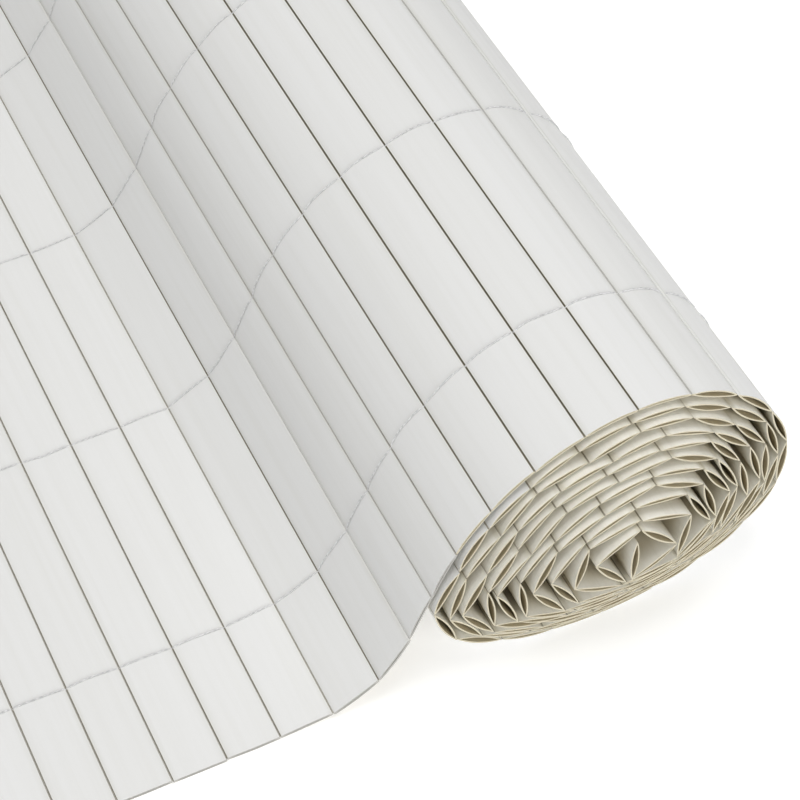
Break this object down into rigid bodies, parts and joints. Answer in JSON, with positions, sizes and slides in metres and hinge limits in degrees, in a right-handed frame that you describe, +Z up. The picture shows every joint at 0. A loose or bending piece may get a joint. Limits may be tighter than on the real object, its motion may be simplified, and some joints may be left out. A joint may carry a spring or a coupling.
{
  "type": "pvc reed screening",
  "caption": "White PVC reed screening: hollow flat slats tied edge to edge with rows of thread, rolled up from one end, with the other end laid out flat.",
  "frame": {"origin": "centre of the footprint, on the floor", "axes": "+Y along the slats, away from the end that the picture shows; +X from the flat end to the roll; +Z up"},
  "size_m": [0.3504, 1.0174, 0.0933],
  "materials": {
    "white_pvc": "satin white, cream where it is cut",
    "binding_thread": "white twisted yarn"
  },
  "bodies": {
    "root": {"binding_thread_01": "binding_thread", "binding_thread_02": "binding_thread", "binding_thread_03": "binding_thread", "binding_thread_04": "binding_thread", "binding_thread_05": "binding_thread", "binding_thread_06": "binding_thread", "binding_thread_07": "binding_thread", "binding_thread_08": "binding_thread", "binding_thread_09": "binding_thread", "binding_thread_10": "binding_thread", "roll_turn_01": "white_pvc", "roll_turn_02": "white_pvc", "roll_turn_03": "white_pvc", "roll_turn_04": "white_pvc", "roll_turn_05": "white_pvc", "roll_turn_06": "white_pvc", "roll_turn_07": "white_pvc", "roll_turn_08": "white_pvc", "roll_turn_09": "white_pvc", "roll_turn_10": "white_pvc", "roll_turn_11": "white_pvc", "slat_01": "white_pvc", "slat_02": "white_pvc", "slat_03": "white_pvc", "slat_04": "white_pvc", "slat_05": "white_pvc", "slat_06": "white_pvc", "slat_07": "white_pvc", "slat_08": "white_pvc", "slat_09": "white_pvc", "slat_10": "white_pvc", "slat_11": "white_pvc", "slat_12": "white_pvc", "slat_13": "white_pvc", "slat_14": "white_pvc"}
  },
  "joints": []
}
